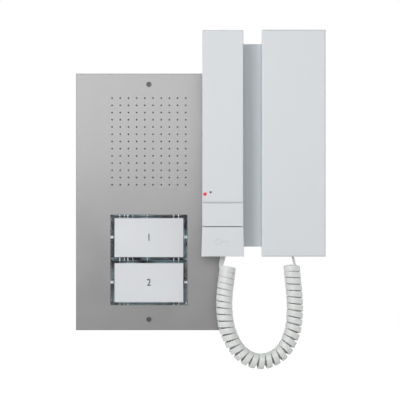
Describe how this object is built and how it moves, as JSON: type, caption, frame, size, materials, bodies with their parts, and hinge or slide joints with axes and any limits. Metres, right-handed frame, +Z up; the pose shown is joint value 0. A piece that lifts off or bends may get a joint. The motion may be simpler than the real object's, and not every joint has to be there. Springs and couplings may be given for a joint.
{
  "type": "door intercom set",
  "caption": "Door intercom set: flush metal door panel with speaker grille and call buttons beside a wall-mounted indoor station with lift-off handset, keys and curly cord.",
  "frame": {"origin": "centre of the door panel on the wall plane, at the back face of its perimeter seal", "axes": "+X to the viewer's right, +Y into the wall, +Z up"},
  "size_m": [0.2214, 0.096, 0.3004],
  "materials": {
    "satin_metal": "fine-grained satin",
    "seal_foam": "matt foam",
    "dark_steel": "dark satin",
    "box_plastic": "moulded matt",
    "black_plastic": "moulded matt",
    "clear_plastic": "clear, polished",
    "card": "printed card",
    "diffuser_plastic": "white translucent",
    "spring_steel": "bright steel",
    "lamp_white": "clear lens",
    "board": "circuit board lacquer",
    "speaker_black": "paper cone and steel basket",
    "soft_rubber": "soft rubber",
    "brass": "plain brass",
    "white_plastic": "fine satin moulding",
    "key_plastic": "fine satin moulding",
    "lamp_red": "clear red lens",
    "cord_jacket": "satin jacket"
  },
  "bodies": {
    "root": {"front_plate": "satin_metal", "perimeter_seal": "seal_foam", "plate_screws": "dark_steel", "flush_box": "box_plastic", "button_frame": "black_plastic", "call_springs_upper": "spring_steel", "call_springs_lower": "spring_steel", "call_switches": "black_plastic", "backlight_leds": "lamp_white", "door_board": "board", "board_spacers": "spring_steel", "door_speaker": "speaker_black", "speaker_gasket": "seal_foam", "door_microphone": "spring_steel", "microphone_grommet": "soft_rubber", "door_terminals": "box_plastic", "terminal_screws": "brass", "wall_plate": "box_plastic", "rear_housing": "white_plastic", "column_cover": "white_plastic", "door_key_springs": "spring_steel", "aux_key_springs": "spring_steel", "key_frame": "box_plastic", "key_switches": "black_plastic", "indicator_led": "lamp_red", "station_board": "board", "ringer": "brass", "station_terminals": "black_plastic", "housing_screws": "spring_steel", "hook_spring": "spring_steel", "hook_switch": "black_plastic", "base_cord_bush": "cord_jacket", "cord_tail_base": "cord_jacket", "cord_curly": "cord_jacket"},
    "upper_button": {"call_cap_upper": "clear_plastic", "name_card_upper": "card", "card_carrier_upper": "diffuser_plastic"},
    "lower_button": {"call_cap_lower": "clear_plastic", "name_card_lower": "card", "card_carrier_lower": "diffuser_plastic"},
    "door_key": {"door_key": "key_plastic"},
    "aux_key": {"aux_key": "key_plastic"},
    "hook_plunger": {"hook_plunger": "white_plastic"},
    "handset": {"handset_front_shell": "white_plastic", "handset_rear_shell": "white_plastic", "earpiece_capsule": "speaker_black", "handset_microphone": "spring_steel", "handset_weight": "dark_steel", "handset_screws": "spring_steel", "handset_cord_bush": "cord_jacket", "cord_tail_handset": "cord_jacket"}
  },
  "joints": [
    {"name": "upper_button_press", "type": "slide", "parent": "root", "child": "upper_button", "axis": [0, 1, 0], "range_m": [0, 0.0015], "stiffness_N_per_m": 400, "springref_m": -0.002, "deforming": ["call_springs_upper"]},
    {"name": "lower_button_press", "type": "slide", "parent": "root", "child": "lower_button", "axis": [0, 1, 0], "range_m": [0, 0.0015], "stiffness_N_per_m": 400, "springref_m": -0.002, "deforming": ["call_springs_lower"]},
    {"name": "door_key_press", "type": "slide", "parent": "root", "child": "door_key", "axis": [0, 1, 0], "range_m": [0, 0.0012], "stiffness_N_per_m": 400, "springref_m": -0.002, "deforming": ["door_key_springs"]},
    {"name": "aux_key_press", "type": "slide", "parent": "root", "child": "aux_key", "axis": [0, 1, 0], "range_m": [0, 0.0012], "stiffness_N_per_m": 400, "springref_m": -0.002, "deforming": ["aux_key_springs"]},
    {"name": "handset_lift", "type": "slide", "parent": "root", "child": "handset", "axis": [0, -1, 0], "range_m": [0, 0.06]},
    {"name": "hook_rise", "type": "slide", "parent": "root", "child": "hook_plunger", "axis": [0, -1, 0], "range_m": [0, 0.003], "deforming": ["hook_spring"]}
  ],
  "couplings": [
    {"joint": "hook_rise", "follows": "handset_lift", "ratio": 0.05}
  ]
}
